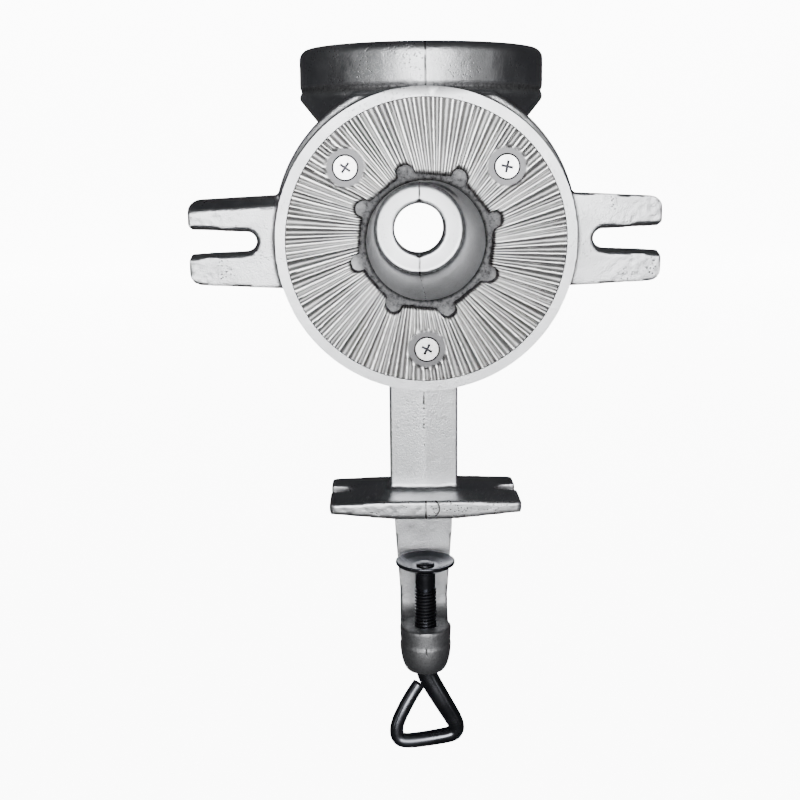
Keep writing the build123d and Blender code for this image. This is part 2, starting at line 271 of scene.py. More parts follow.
class Graph:
    """Short ways to add and link nodes in one node tree."""

    def __init__(self, tree: bpy.types.NodeTree) -> None:
        """Start working on a tree."""
        self.tree = tree

    def node(self, kind: str, links: dict | None = None, **settings: object) -> bpy.types.Node:
        """Add a node.

        Args:
            kind: The node's type, without "ShaderNode" for short.
            links: Input names or places, each to a value or to another node's output.
            settings: The node's own settings.

        Returns:
            The new node.
        """
        made = self.tree.nodes.new(kind if kind.startswith("Node") else f"ShaderNode{kind}")
        for key, value in settings.items():
            setattr(made, key, value)
        for key, value in (links or {}).items():
            if isinstance(value, bpy.types.NodeSocket):
                self.tree.links.new(value, made.inputs[key])
            else:
                made.inputs[key].default_value = value
        return made

    def math(self, operation: str, a: object, b: object = 0.0, clamp: bool = False) -> bpy.types.NodeSocket:
        """Return the output of a Math node on two values."""
        return self.node("Math", {0: a, 1: b}, operation=operation, use_clamp=clamp).outputs[0]

    def ramp(
        self, value: object, low: float, high: float, to_low: float = 0.0, to_high: float = 1.0
    ) -> bpy.types.NodeSocket:
        """Return a value mapped smoothly from one range to another."""
        made = self.node(
            "MapRange",
            {"Value": value, "From Min": low, "From Max": high, "To Min": to_low, "To Max": to_high},
            interpolation_type="SMOOTHSTEP",
        )
        return made.outputs[0]

    def mix(self, factor: object, a: object, b: object) -> bpy.types.NodeSocket:
        """Return a mix of two colours."""
        made = self.node("Mix", data_type="RGBA")
        for index, value in ((0, factor), (6, a), (7, b)):
            if isinstance(value, bpy.types.NodeSocket):
                self.tree.links.new(value, made.inputs[index])
            else:
                made.inputs[index].default_value = value
        return made.outputs[2]

    def blend(self, factor: object, a: object, b: object) -> bpy.types.NodeSocket:
        """Return a mix of two numbers."""
        made = self.node("Mix", data_type="FLOAT")
        for index, value in ((0, factor), (2, a), (3, b)):
            if isinstance(value, bpy.types.NodeSocket):
                self.tree.links.new(value, made.inputs[index])
            else:
                made.inputs[index].default_value = value
        return made.outputs[0]


def build_cast_skin() -> bpy.types.NodeTree:
    """Build the sand-cast skin effect: fine grain, soft lumps and scattered pits.

    Returns:
        The group: Grain, Lumps and Pits in; Height, Pit Mask and Mottle out.
    """
    group = bpy.data.node_groups.new("cast_skin", "ShaderNodeTree")
    socket(group, "Vector", "Vector", True)
    socket(group, "Grain", "Float", True, 0.5)
    socket(group, "Lumps", "Float", True, 0.5)
    socket(group, "Pits", "Float", True, 0.5)
    for name in ("Height", "Pit Mask", "Mottle"):
        socket(group, name, "Float", False)
    g = Graph(group)
    inlet = g.node("NodeGroupInput")
    outlet = g.node("NodeGroupOutput")
    place = inlet.outputs["Vector"]
    grain = g.node("TexNoise", {"Vector": place, "Scale": 1400.0, "Detail": 4.0, "Roughness": 0.6}).outputs[0]
    lumps = g.node("TexNoise", {"Vector": place, "Scale": 260.0, "Detail": 3.0}).outputs[0]
    cells = g.node("TexVoronoi", {"Vector": place, "Scale": 850.0, "Randomness": 1.0}).outputs["Distance"]
    gate = g.node("TexNoise", {"Vector": place, "Scale": 90.0, "Detail": 3.0}).outputs[0]
    pit = g.ramp(cells, 0.16, 0.34, 1.0, 0.0)
    pit = g.math("MULTIPLY", pit, g.ramp(gate, 0.50, 0.62))
    pit = g.math("MULTIPLY", pit, inlet.outputs["Pits"], clamp=True)
    height = g.math("MULTIPLY", grain, inlet.outputs["Grain"])
    height = g.math("ADD", height, g.math("MULTIPLY", lumps, inlet.outputs["Lumps"]))
    height = g.math("SUBTRACT", height, pit)
    mottle = g.node("TexNoise", {"Vector": place, "Scale": 38.0, "Detail": 5.0, "Roughness": 0.62}).outputs[0]
    for name, value in (("Height", height), ("Pit Mask", pit), ("Mottle", mottle)):
        group.links.new(value, outlet.inputs[name])
    return group


def build_edge_wear_and_shade() -> bpy.types.NodeTree:
    """Build the edge effect: bright on raised, worn edges, and a painted-shade mask that darkens hollows.

    Returns:
        The group: Spread in; Edge, for worn edges, and Hollow, the painted shade of the hollows, out.
    """
    group = bpy.data.node_groups.new("edge_wear_and_shade", "ShaderNodeTree")
    socket(group, "Vector", "Vector", True)
    socket(group, "Spread", "Float", True, 0.04)
    for name in ("Edge", "Hollow Shade"):
        socket(group, name, "Float", False)
    g = Graph(group)
    inlet = g.node("NodeGroupInput")
    outlet = g.node("NodeGroupOutput")
    point = g.node("NewGeometry").outputs["Pointiness"]
    rough = g.node("TexNoise", {"Vector": inlet.outputs["Vector"], "Scale": 210.0, "Detail": 4.0}).outputs[0]
    shifted = g.math("ADD", point, g.math("MULTIPLY", g.math("SUBTRACT", rough, 0.5), 0.03))
    above = g.math("SUBTRACT", shifted, 0.51)
    below = g.math("SUBTRACT", 0.49, shifted)
    edge = g.math("DIVIDE", above, inlet.outputs["Spread"], clamp=True)
    # Painted shade: how deep a place lies in a hollow, used to darken it.
    hollow_shade = g.math("DIVIDE", below, inlet.outputs["Spread"], clamp=True)
    group.links.new(edge, outlet.inputs["Edge"])
    group.links.new(hollow_shade, outlet.inputs["Hollow Shade"])
    return group


CAST_SKIN = build_cast_skin()
EDGE_WEAR_AND_SHADE = build_edge_wear_and_shade()


# ------------------------------------------------------------------ finishes
@dataclass(frozen=True)
class Finish:
    """What every finish has: a name, a base colour and a gloss."""

    name: str
    colour: tuple[float, float, float, float]
    roughness: float

    def start(self) -> tuple[bpy.types.Material, Graph, bpy.types.Node, bpy.types.NodeSocket]:
        """Make the material with its shader and its place socket.

        Returns:
            The material, its graph, its Principled BSDF and the object coordinates.
        """
        material = bpy.data.materials.new(self.name)
        material.use_nodes = True
        tree = material.node_tree
        tree.nodes.clear()
        graph = Graph(tree)
        shader = graph.node("BsdfPrincipled")
        outlet = graph.node("OutputMaterial")
        tree.links.new(shader.outputs[0], outlet.inputs["Surface"])
        place = graph.node("TexCoord").outputs["Object"]
        shader.inputs["Metallic"].default_value = 1.0
        return material, graph, shader, place

    def group(self, graph: Graph, tree: bpy.types.NodeTree, links: dict) -> bpy.types.Node:
        """Place a shared effect in this material."""
        made = graph.tree.nodes.new("ShaderNodeGroup")
        made.node_tree = tree
        for key, value in links.items():
            if isinstance(value, bpy.types.NodeSocket):
                graph.tree.links.new(value, made.inputs[key])
            else:
                made.inputs[key].default_value = value
        return made

    def close(self, graph: Graph, shader: bpy.types.Node, links: dict) -> None:
        """Link the shader's colour, roughness and normal."""
        for key, value in links.items():
            graph.tree.links.new(value, shader.inputs[key])


@dataclass(frozen=True)
class TinnedCasting(Finish):
    """Bright tinned grey iron: sandy where cast, smooth where filed, with painted shade in its hollows."""

    bump: float = 0.0004
    # Dark colour for pits and grime, also laid on as painted shade in hollows, the bore, the boss and the
    # collar's groove.
    dirt_and_shade: tuple[float, float, float, float] = (0.045, 0.044, 0.048, 1.0)

    def material(self) -> bpy.types.Material:
        """Build the material."""
        material, g, shader, place = self.start()
        pitting = g.node("Attribute", attribute_name="pitting").outputs["Fac"]
        polish = g.node("Attribute", attribute_name="polish").outputs["Fac"]
        grime_and_shade = g.node("Attribute", attribute_name="grime_and_shade").outputs["Fac"]
        seam_zone = g.node("Attribute", attribute_name="seam").outputs["Fac"]
        rough_skin = g.math("SUBTRACT", 1.0, polish)
        skin = self.group(g, CAST_SKIN, {"Vector": place, "Grain": 0.55, "Lumps": 0.4, "Pits": pitting})
        wear_and_shade = self.group(g, EDGE_WEAR_AND_SHADE, {"Vector": place, "Spread": 0.06})
        seam = self.seam(g, place, seam_zone)
        mottle = skin.outputs["Mottle"]
        base = g.mix(mottle, tuple(0.86 * c for c in self.colour[:3]) + (1.0,), self.colour)
        base = g.mix(g.math("MULTIPLY", skin.outputs["Pit Mask"], 0.85), base, self.dirt_and_shade)
        # Painted shade: the rough skin's hollows are darkened.
        hollow_shade = g.math("MULTIPLY", wear_and_shade.outputs["Hollow Shade"], g.math("MULTIPLY", rough_skin, 0.6))
        base = g.mix(hollow_shade, base, self.dirt_and_shade)
        fine = {"Vector": place, "Scale": 620.0, "Detail": 4.0, "Roughness": 0.7}
        cloud = g.node("TexNoise", fine).outputs[0]
        # Darkened by the grime mask: the recess floor's own bare iron, and painted shade in the bore, on the
        # boss and in the collar's groove.
        base = g.mix(g.math("MULTIPLY", grime_and_shade, g.ramp(cloud, 0.25, 0.62, 1.0, 0.72)), base, self.dirt_and_shade)
        base = g.mix(g.math("MULTIPLY", seam, 0.9), base, (0.03, 0.03, 0.032, 1.0))
        rough = g.ramp(mottle, 0.3, 0.7, self.roughness - 0.05, self.roughness + 0.07)
        rough = g.blend(g.math("MULTIPLY", polish, 0.55), rough, 0.25)
        rough = g.blend(grime_and_shade, rough, 0.62)
        height = g.math("MULTIPLY", skin.outputs["Height"], g.math("MAXIMUM", rough_skin, 0.12))
        height = g.math("SUBTRACT", height, g.math("MULTIPLY", seam, 0.9))
        bump = g.node("Bump", {"Height": height, "Strength": 0.5, "Distance": self.bump})
        self.close(g, shader, {"Base Color": base, "Roughness": rough, "Normal": bump.outputs[0]})
        return material

    def seam(self, g: Graph, place: bpy.types.NodeSocket, zone: bpy.types.NodeSocket) -> bpy.types.NodeSocket:
        """Return the mask of the mould's parting line and of the cold shut on the ledge's front."""
        split = g.node("SeparateXYZ", {0: place})
        x, z = split.outputs["X"], split.outputs["Z"]
        wander = g.node("TexNoise", {"Vector": place, "Scale": 150.0, "Detail": 3.0}).outputs[0]
        wander = g.math("MULTIPLY", g.math("SUBTRACT", wander, 0.5), 0.0006)
        line = g.ramp(g.math("ABSOLUTE", g.math("ADD", x, wander)), 0.00016, 0.00046, 1.0, 0.0)
        broken = g.node("TexNoise", {"Vector": place, "Scale": 330.0, "Detail": 3.0}).outputs[0]
        keep = g.ramp(broken, g.math("SUBTRACT", 0.62, g.math("MULTIPLY", zone, 0.5)), 0.68)
        line = g.math("MULTIPLY", line, g.math("MULTIPLY", keep, g.ramp(zone, 0.0, 0.12)))
        across = g.math("SUBTRACT", x, 0.0017)
        up = g.math("SUBTRACT", z, 0.0047)
        far = g.math("SQRT", g.math("ADD", g.math("MULTIPLY", across, across), g.math("MULTIPLY", up, up)))
        bow = g.ramp(g.math("ABSOLUTE", g.math("SUBTRACT", far, 0.0041)), 0.0001, 0.0004, 1.0, 0.0)
        bow = g.math("MULTIPLY", bow, g.ramp(across, 0.0016, 0.0026))
        bow = g.math("MULTIPLY", bow, g.node("Attribute", attribute_name="ledge_front").outputs["Fac"])
        return g.math("MAXIMUM", line, bow, clamp=True)


@dataclass(frozen=True)
class BurrIron(Finish):
    """Bare grooved iron: bright rubbed ridges, valleys painted grey with depth as painted shade, dark broken
    inner lip.
    """

    valley_shade: tuple[float, float, float, float] = (0.50, 0.50, 0.50, 1.0)
    lip: tuple[float, float, float, float] = (0.06, 0.058, 0.06, 1.0)

    def material(self) -> bpy.types.Material:
        """Build the material."""
        material, g, shader, place = self.start()
        y = g.node("SeparateXYZ", {0: place}).outputs["Y"]
        depth = g.math("SUBTRACT", y, PLATE_FACE_Y)
        broad = {"Vector": place, "Scale": 95.0, "Detail": 4.0, "Roughness": 0.6}
        patch = g.node("TexNoise", broad).outputs[0]
        grain = g.node("TexNoise", {"Vector": place, "Scale": 1500.0, "Detail": 3.0}).outputs[0]
        # Painted shade: the grooves' floors turn grey with depth.
        low = g.ramp(depth, 0.00008, 0.00062)
        low = g.math("MULTIPLY", low, g.ramp(patch, 0.25, 0.75, 0.72, 1.0))
        base = g.mix(low, self.colour, self.valley_shade)
        land = g.node("Attribute", attribute_name="land").outputs["Fac"]
        base = g.mix(land, base, (0.15, 0.15, 0.155, 1.0))
        wall = g.ramp(depth, 0.00115, 0.0014)
        lip = g.math("MAXIMUM", wall, g.node("Attribute", attribute_name="lip").outputs["Fac"])
        base = g.mix(lip, base, self.lip)
        rough = g.blend(low, self.roughness, 0.46)
        rough = g.blend(lip, rough, 0.6)
        height = g.math("ADD", g.math("MULTIPLY", grain, 0.5), g.math("MULTIPLY", patch, 0.3))
        bump = g.node("Bump", {"Height": height, "Strength": 0.45, "Distance": 0.00014})
        self.close(g, shader, {"Base Color": base, "Roughness": rough, "Normal": bump.outputs[0]})
        return material


@dataclass(frozen=True)
class PlainMetal(Finish):
    """Steel with fine grain, brighter on its worn edges, with painted shade darkening its corners and
    recesses.
    """

    bump: float = 0.00006
    edge: float = 1.6
    pits: float = 0.25

    def material(self) -> bpy.types.Material:
        """Build the material."""
        material, g, shader, place = self.start()
        skin = self.group(g, CAST_SKIN, {"Vector": place, "Grain": 0.6, "Lumps": 0.4, "Pits": self.pits})
        wear_and_shade = self.group(g, EDGE_WEAR_AND_SHADE, {"Vector": place, "Spread": 0.05})
        bright = tuple(min(1.0, self.edge * c + 0.03) for c in self.colour[:3]) + (1.0,)
        base = g.mix(wear_and_shade.outputs["Edge"], self.colour, bright)
        # The grime mask marks the screws' cross recesses; with the hollows it lays painted shade.
        grime_and_shade = g.node("Attribute", attribute_name="grime_and_shade").outputs["Fac"]
        dark = g.math("MAXIMUM", grime_and_shade, g.math("MULTIPLY", wear_and_shade.outputs["Hollow Shade"], 0.6))
        base = g.mix(dark, base, (0.03, 0.03, 0.035, 1.0))
        rough = g.ramp(skin.outputs["Mottle"], 0.3, 0.7, self.roughness - 0.06, self.roughness + 0.10)
        bump = g.node("Bump", {"Height": skin.outputs["Height"], "Strength": 0.5, "Distance": self.bump})
        self.close(g, shader, {"Base Color": base, "Roughness": rough, "Normal": bump.outputs[0]})
        return material


# ------------------------------------------------------------------ casting
def between(values: np.ndarray, low: float, high: float) -> np.ndarray:
    """Return 0 below low, 1 above high and a smooth step between, for every value."""
    t = np.clip((values - low) / (high - low), 0.0, 1.0)
    return t * t * (3.0 - 2.0 * t)


def rugged(places: np.ndarray, scale: float, octaves: int = 2) -> np.ndarray:
    """Return smooth noise of about -1 to 1 at every place.

    Args:
        places: Rows of positions in metres.
        scale: The size of one lump in metres.
        octaves: Layers of finer noise.
    """
    values = np.zeros(len(places))
    for octave in range(octaves):
        shrink = 2.0**octave / scale
        values += np.array([noise.noise(Vector(row)) for row in places * shrink]) / 2.0**octave
    return values


@dataclass
class Casting:
    """The hollow casting: hopper, barrel, bearing, flange, lugs, leg, ledge, arm and boss in one."""

    voxel: float = 0.85 * MM
    triangles: int = 185000
    flange_face: float = -29.0 * MM
    rim_inner: float = 56.0 * MM
    rim_outer: float = 60.0 * MM
    lug_reach: float = 27.0 * MM
    recess_floor: float = -24.4 * MM
    rear_wall: float = 53.0 * MM
    bearing: float = 11.6 * MM
    screw_bore: float = 5.05 * MM
    lug_front: float = -23.0 * MM
    lug_bevel: float = 4.4 * MM
    boss_turn: float = 60.0 * MM
    boss_tip: float = 73.3 * MM
    boss_tip_half: float = 7.0 * MM
    boss_swell: float = 4.4 * MM
    boss_skin: float = 6.6 * MM
    screw_hole: float = 2.75 * MM
    screw_circle: float = 43.0 * MM
    nodes: tuple[str, ...] = (
        "burr_flange", "lug_left", "lug_right", "barrel", "rear_bearing", "hopper_collar", "hopper_funnel",
        "leg", "table_ledge", "ledge_end_left", "ledge_end_right", "clamp_arm", "screw_boss",
    )

    def build(self, finish: bpy.types.Material) -> bpy.types.Object:
        """Fuse the casting's parts, weather the skin and dress it."""
        shell = self.gather()
        self.fuse(shell)
        places = coordinates(shell)
        self.bevel_left_lug(places)
        self.round_bores(places)
        self.weather(places)
        self.nick_bearing(places)
        self.round_boss(places)
        self.true_faces(places)
        set_coordinates(shell, places)
        self.thin(shell)
        self.mark(shell)
        smooth_by_angle(shell, 50)
        shell.data.materials.clear()
        shell.data.materials.append(finish)
        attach(shell, "body")
        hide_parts(*self.nodes)
        log.info("casting: %d triangles", sum(len(face.vertices) - 2 for face in shell.data.polygons))
        return shell

    def gather(self) -> bpy.types.Object:
        """Copy the casting's parts, join them and merge what they share."""
        twins = []
        for name in self.nodes:
            twin = bpy.data.objects.new("mill_casting", frame["nodes"][name].data.copy())
            bpy.context.scene.collection.objects.link(twin)
            twins.append(twin)
        join_pieces(twins[0], twins[1:])
        shell = twins[0]
        activate(shell)
        bpy.ops.object.mode_set(mode="EDIT")
        bpy.ops.mesh.select_all(action="SELECT")
        bpy.ops.mesh.remove_doubles(threshold=1e-6)
        bpy.ops.object.mode_set(mode="OBJECT")
        return shell

    def fuse(self, shell: bpy.types.Object) -> None:
        """Turn the joined parts into one even skin with softened edges."""
        remesh = shell.modifiers.new("fuse", "REMESH")
        remesh.mode = "VOXEL"
        remesh.voxel_size = self.voxel
        soften = shell.modifiers.new("soften", "SMOOTH")
        soften.factor = 0.5
        soften.iterations = 2
        apply_modifiers(shell)

    def bevel_left_lug(self, places: np.ndarray) -> None:
        """Slope the upper front edge of the left lug back."""
        top = SHAFT_Z + (21.5 - 4.7 * np.abs(places[:, 0]) / (95.0 * MM)) * MM
        rise = (places[:, 2] - (top - self.lug_bevel)) / self.lug_bevel
        chosen = (places[:, 0] < -59.5 * MM) & (rise > 0) & (places[:, 1] < -14.8 * MM)
        limit = self.lug_front + np.clip(rise, 0, 1) * 4.6 * MM
        places[:, 1] = np.where(chosen & (places[:, 1] < limit), limit, places[:, 1])

    def round_bores(self, places: np.ndarray) -> None:
        """Bring the walls of the drilled and bored holes back to true circles."""
        radial = np.hypot(places[:, 0], places[:, 2] - SHAFT_Z)
        deep = places[:, 1] > self.rear_wall + 1.2 * MM
        self.pull(places, (0.0, SHAFT_Z), (0, 2), self.bearing, deep & (radial < self.bearing + 0.9 * MM))
        inside = places[:, 1] < self.recess_floor - 0.8 * MM
        ring = np.abs(radial - self.rim_inner) < 0.8 * MM
        self.pull(places, (0.0, SHAFT_Z), (0, 2), self.rim_inner, inside & ring)
        clear = np.abs(places[:, 2] - SHAFT_Z) > self.lug_reach
        edge = (np.abs(radial - self.rim_outer) < 0.8 * MM) & (places[:, 1] < self.flange_face + 5 * MM)
        self.pull(places, (0.0, SHAFT_Z), (0, 2), self.rim_outer, clear & edge)
        low = places[:, 2] < -51.0 * MM
        near = np.hypot(places[:, 0], places[:, 1]) < self.screw_bore + 1.0 * MM
        self.pull(places, (0.0, 0.0), (0, 1), self.screw_bore, low & near)
        for degrees in (137.5, 42.5, 270.0):
            angle = math.radians(degrees)
            x = self.screw_circle * math.cos(angle)
            z = SHAFT_Z + self.screw_circle * math.sin(angle)
            close = np.hypot(places[:, 0] - x, places[:, 2] - z) < self.screw_hole + 0.9 * MM
            self.pull(places, (x, z), (0, 2), self.screw_hole, close & (places[:, 1] < -12 * MM))

    def pull(self, places: np.ndarray, centre: tuple, axes: tuple, radius: float, chosen: np.ndarray) -> None:
        """Move chosen places straight to a circle's radius."""
        arms = places[np.ix_(chosen, axes)] - np.array(centre)
        lengths = np.maximum(np.linalg.norm(arms, axis=1, keepdims=True), 1e-9)
        places[np.ix_(chosen, axes)] = np.array(centre) + arms / lengths * radius

    def weather(self, places: np.ndarray) -> None:
        """Wave the top of the hopper collar a little and pit the lug tips and the ledge's front."""
        tips = between(np.abs(places[:, 0]), 64 * MM, 86 * MM)
        front = between(-places[:, 1], 8.5 * MM, 10.5 * MM) * (np.abs(places[:, 2] - 4 * MM) < 5 * MM)
        weight = np.maximum(tips, 0.7 * front)
        chosen = weight > 0.05
        lumps = rugged(places[chosen], 1.9 * MM, 2)
        pits = np.clip(lumps - 0.05, 0, 0.6) * 0.42 * MM * weight[chosen]
        facing = places[chosen]
        lug = np.abs(facing[:, 0]) > 55 * MM
        middle = np.where(lug, -19.0 * MM, 0.0)
        push = np.sign(middle - facing[:, 1]) * pits
        near = np.where(lug, np.abs(facing[:, 1] - self.lug_front) < 1.5 * MM, facing[:, 1] < -9 * MM)
        facing[:, 1] += np.where(near, np.abs(push), 0.0)
        facing[:, 2] += np.where(lug, -np.sign(facing[:, 2] - SHAFT_Z) * pits * 0.4, 0.0)
        places[chosen] = facing
        collar = between(places[:, 2], 178 * MM, 180 * MM)
        chosen = collar > 0.1
        skin = places[chosen]
        wave = rugged(skin, 9 * MM, 2) * 0.16 * MM
        arms = skin[:, :2] - np.array([0.0, HOPPER.y])
        radius = np.maximum(np.linalg.norm(arms, axis=1), 1e-6)
        outer = radius > 50.0 * MM
        step = np.where((skin[:, 0] < 0) & outer, 0.14 * MM, 0.0)
        scale = (radius - np.where(outer, np.abs(wave), 0.0) - step) / radius
        skin[:, :2] = np.array([0.0, HOPPER.y]) + arms * scale[:, None]
        places[chosen] = skin

    def nick_bearing(self, places: np.ndarray) -> None:
        """Cut the small notches where the parting line meets the bearing's edge."""
        height = places[:, 2] - SHAFT_Z
        radial = np.hypot(places[:, 0], height)
        near = (np.abs(radial - self.bearing) < 1.6 * MM) & (places[:, 1] < 58 * MM)
        near &= places[:, 1] > 52 * MM
        depth = 1.7 * MM * np.exp(-((places[:, 0] / (1.1 * MM)) ** 2))
        places[:, 2] += np.where(near, np.sign(height) * depth, 0.0)

    def round_boss(self, places: np.ndarray) -> None:
        """Draw the boss and its web in towards the tip in one rounded curve."""
        down = np.clip((-places[:, 2] - self.boss_turn) / (self.boss_tip - self.boss_turn), 0.0, 1.0)
        half = self.boss_tip_half + self.boss_swell * np.sqrt(1.0 - down**2)
        radial = np.hypot(places[:, 0], places[:, 1])
        skin = (down > 0) & (down < 0.98) & (radial > self.boss_skin) & (places[:, 1] < 6 * MM)
        places[:, :2] *= np.where(skin, half / np.maximum(radial, MM), 1.0)[:, None]
        limited = np.sign(places[:, 0]) * np.minimum(np.abs(places[:, 0]), half)
        places[:, 0] = np.where(down > 0, limited, places[:, 0])

    def true_faces(self, places: np.ndarray) -> None:
        """Flatten the faces that were filed or ground flat."""
        radial = np.hypot(places[:, 0], places[:, 2] - SHAFT_Z)
        rim = (radial > self.rim_inner - 0.1 * MM) & (radial < self.rim_outer + 0.1 * MM)
        rim &= np.abs(places[:, 1] - self.flange_face) < 0.7 * MM
        places[:, 1] = np.where(rim, self.flange_face, places[:, 1])
        seat = (np.abs(places[:, 0]) < 14 * MM) & (np.abs(places[:, 2]) < 0.4 * MM)
        places[:, 2] = np.where(seat & (places[:, 1] < 16 * MM), 0.0, places[:, 2])

    def thin(self, shell: bpy.types.Object) -> None:
        """Collapse what lies flat until the skin is light enough."""
        have = sum(len(face.vertices) - 2 for face in shell.data.polygons)
        if have > self.triangles:
            collapse = shell.modifiers.new("thin", "DECIMATE")
            collapse.ratio = self.triangles / have
            apply_modifiers(shell)

    def mark(self, shell: bpy.types.Object) -> None:
        """Write the masks that the finish reads: pitting, polish, grime with painted shade, and the parting
        line's zones.
        """
        at = coordinates(shell)
        x, y, z = at[:, 0], at[:, 1], at[:, 2]
        radial = np.hypot(x, z - SHAFT_Z)
        lug = between(np.abs(x), 62 * MM, 84 * MM)
        ledge = between(-y, 9.0 * MM, 10.4 * MM) * (z < 9.5 * MM) * (z > -2 * MM)
        collar = between(z, 176 * MM, 178 * MM) * (np.hypot(x, y - HOPPER.y) > 48 * MM)
        wall = (np.abs(y - self.rear_wall) < 1.3 * MM) * (radial < 22.5 * MM)
        bore = (radial < 25.5 * MM) * (y > self.recess_floor + 1.0 * MM) * (y < self.rear_wall - 0.8 * MM)
        floor = (np.abs(y - self.recess_floor) < 1.1 * MM) * (radial > 23 * MM) * (radial < 36 * MM)
        rim = (y < self.flange_face + 0.8 * MM) * (radial > 55 * MM) * (radial < 61 * MM)
        groove = between(z, 178.4 * MM, 179.2 * MM) * (1 - between(z, 181.2 * MM, 182.0 * MM))
        groove = groove * (np.hypot(x, y - HOPPER.y) > 47 * MM)
        # Painted shade: the boss is darkened below the arm's bend.
        boss_shade = between(-z, 43.5 * MM, 46 * MM)
        notch = (np.abs(x) > 31 * MM) * (np.abs(y - 14 * MM) < 5.2 * MM) * (np.abs(z - 4 * MM) < 5 * MM)
        masks = {
            "pitting": np.maximum.reduce([0.22 + 0 * x, lug, 0.9 * ledge, 0.45 * collar, 0.7 * notch]),
            "polish": np.maximum.reduce([0.25 * rim, 0.95 * wall, 0.85 * bore]),
            # Grime: the recess floor's own dark bare iron; painted shade in the bore, on the boss and in the
            # collar's groove.
            "grime_and_shade": np.maximum.reduce([floor + 0 * x, 0.5 * bore, 0.55 * boss_shade, 0.8 * groove]),
            "seam": np.maximum.reduce([0.12 + 0 * x, collar, wall, 0.45 * bore, 0.5 * ledge]) * (1 - rim),
            "ledge_front": ledge,
        }
        for name, values in masks.items():
            layer = shell.data.attributes.new(name, "FLOAT", "POINT")
            layer.data.foreach_set("value", values.astype(np.float32))


